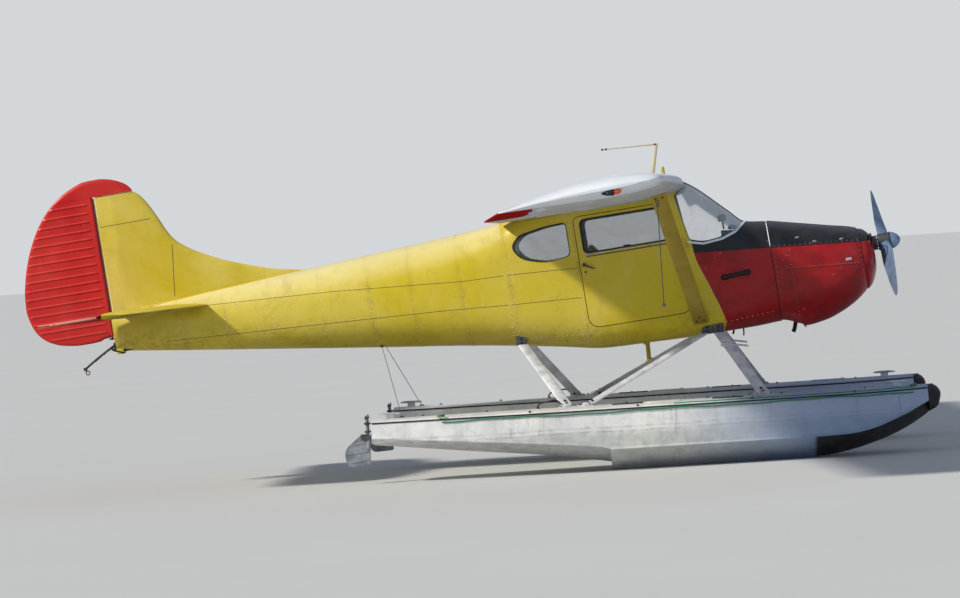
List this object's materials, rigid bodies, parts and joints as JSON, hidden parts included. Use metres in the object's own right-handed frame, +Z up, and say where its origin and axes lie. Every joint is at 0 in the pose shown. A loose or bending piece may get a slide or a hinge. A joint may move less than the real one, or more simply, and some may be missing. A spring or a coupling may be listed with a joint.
{
  "type": "floatplane",
  "caption": "High-wing single-engined cabin monoplane with braced wings, standing on twin straight metal floats.",
  "frame": {"origin": "bottom centre of the overall box: on the plane the float keels stand on, under half the length and half the span", "axes": "+X towards the nose along the float decks, +Y to the left wing tip, +Z up; the fuselage sits 5.5 degrees nose up"},
  "size_m": [7.8465, 10.972, 2.7457],
  "materials": {
    "yellow_paint": "faded glossy yellow paint over metal skin",
    "yellow_alloy": "faded yellow paint over riveted light-alloy skin",
    "red_paint": "worn glossy red paint",
    "red_alloy": "red paint over beaded light-alloy skin",
    "black_paint": "matt black anti-glare paint",
    "panel_black": "matt black crackle finish",
    "wing_skin": "silver-white paint over riveted light-alloy skin",
    "float_alloy": "weathered grey-white light alloy",
    "strut_alloy": "grey painted light alloy",
    "prop_alloy": "polished forged alloy",
    "steel": "dull steel",
    "iron": "oily cast metal",
    "bumper_rubber": "black moulded rubber",
    "glass": "clear acrylic glazing",
    "rope": "weathered grey twisted rope",
    "upholstery": "dark red vinyl and cloth"
  },
  "bodies": {
    "airframe": {"cabin_shell": "yellow_paint", "quarter_window_right": "glass", "quarter_window_left": "glass", "windshield_right": "glass", "windshield_left": "glass", "tail_cone": "yellow_alloy", "firewall": "steel", "engine_block": "iron", "nose_bowl": "red_paint", "cowl_upper": "black_paint", "cowl_lower": "red_paint", "wing_right": "wing_skin", "wing_left": "wing_skin", "wing_tip_right": "wing_skin", "wing_tip_left": "wing_skin", "wing_strut_right": "yellow_alloy", "wing_strut_left": "yellow_alloy", "stabilizer_right": "yellow_alloy", "stabilizer_left": "yellow_alloy", "fin": "yellow_alloy", "tail_spring": "steel", "aerial_mast": "steel", "tiedown_rope": "rope", "seat_front_right": "upholstery", "seat_front_left": "upholstery", "seat_rear": "upholstery", "instrument_panel": "panel_black", "boarding_step_right": "yellow_alloy", "boarding_step_left": "yellow_alloy", "float_right": "float_alloy", "float_left": "float_alloy", "float_bumper_right": "bumper_rubber", "float_bumper_left": "bumper_rubber", "front_float_strut_right": "strut_alloy", "front_float_strut_left": "strut_alloy", "diagonal_float_strut_right": "strut_alloy", "diagonal_float_strut_left": "strut_alloy", "rear_float_strut_right": "strut_alloy", "rear_float_strut_left": "strut_alloy", "spreader_bar_front": "strut_alloy", "spreader_bar_rear": "strut_alloy"},
    "propeller": {"propeller": "prop_alloy", "spinner": "prop_alloy"},
    "door_right": {"door_right": "yellow_paint", "door_window_right": "glass"},
    "door_left": {"door_left": "yellow_paint", "door_window_left": "glass"},
    "aileron_right": {"aileron_right": "red_alloy"},
    "aileron_left": {"aileron_left": "red_alloy"},
    "flap_right": {"flap_right": "wing_skin"},
    "flap_left": {"flap_left": "wing_skin"},
    "elevator": {"elevator": "red_alloy"},
    "rudder": {"rudder": "red_alloy"},
    "water_rudder_right": {"water_rudder_right": "strut_alloy"},
    "water_rudder_left": {"water_rudder_left": "strut_alloy"}
  },
  "joints": [
    {"name": "propeller_spin", "type": "hinge", "parent": "airframe", "child": "propeller", "pos_m": [3.58421, 0, 1.75247], "axis": [0.9954, 0, 0.0958], "continuous": true},
    {"name": "door_right_swing", "type": "hinge", "parent": "airframe", "child": "door_right", "pos_m": [1.8788, -0.546, 1.64351], "axis": [-0.0958, 0, 0.9954], "range_deg": [0, 75]},
    {"name": "door_left_swing", "type": "hinge", "parent": "airframe", "child": "door_left", "pos_m": [1.8788, 0.546, 1.64351], "axis": [0.0958, 0, -0.9954], "range_deg": [0, 75]},
    {"name": "aileron_right_turn", "type": "hinge", "parent": "airframe", "child": "aileron_right", "pos_m": [0.71692, -3.87, 2.20863], "axis": [0.0759, -0.9971, 0.0107], "range_deg": [-17.5, 17.5]},
    {"name": "aileron_left_turn", "type": "hinge", "parent": "airframe", "child": "aileron_left", "pos_m": [0.71692, 3.87, 2.20863], "axis": [0.0759, 0.9971, 0.0107], "range_deg": [-17.5, 17.5]},
    {"name": "flap_right_turn", "type": "hinge", "parent": "airframe", "child": "flap_right", "pos_m": [0.6156, -1.56, 2.15987], "axis": [0, -1, 0], "range_deg": [0, 50]},
    {"name": "flap_left_turn", "type": "hinge", "parent": "airframe", "child": "flap_left", "pos_m": [0.6156, 1.56, 2.15987], "axis": [0, -1, 0], "range_deg": [0, 50]},
    {"name": "elevator_turn", "type": "hinge", "parent": "airframe", "child": "elevator", "pos_m": [-3.04748, 0, 1.55594], "axis": [0, 1, 0], "range_deg": [-20, 26]},
    {"name": "rudder_turn", "type": "hinge", "parent": "airframe", "child": "rudder", "pos_m": [-3.22794, 0, 1.86507], "axis": [-0.0958, 0, 0.9954], "range_deg": [-16, 16]},
    {"name": "water_rudder_right_turn", "type": "hinge", "parent": "airframe", "child": "water_rudder_right", "pos_m": [-0.889, -1.12, 0.4], "axis": [0, 0, 1], "range_deg": [-30, 30]},
    {"name": "water_rudder_left_turn", "type": "hinge", "parent": "airframe", "child": "water_rudder_left", "pos_m": [-0.889, 1.12, 0.4], "axis": [0, 0, 1], "range_deg": [-30, 30]}
  ],
  "couplings": [
    {"joint": "aileron_left_turn", "follows": "aileron_right_turn", "ratio": 1},
    {"joint": "flap_left_turn", "follows": "flap_right_turn", "ratio": 1},
    {"joint": "water_rudder_right_turn", "follows": "rudder_turn", "ratio": 1.8},
    {"joint": "water_rudder_left_turn", "follows": "rudder_turn", "ratio": 1.8}
  ]
}
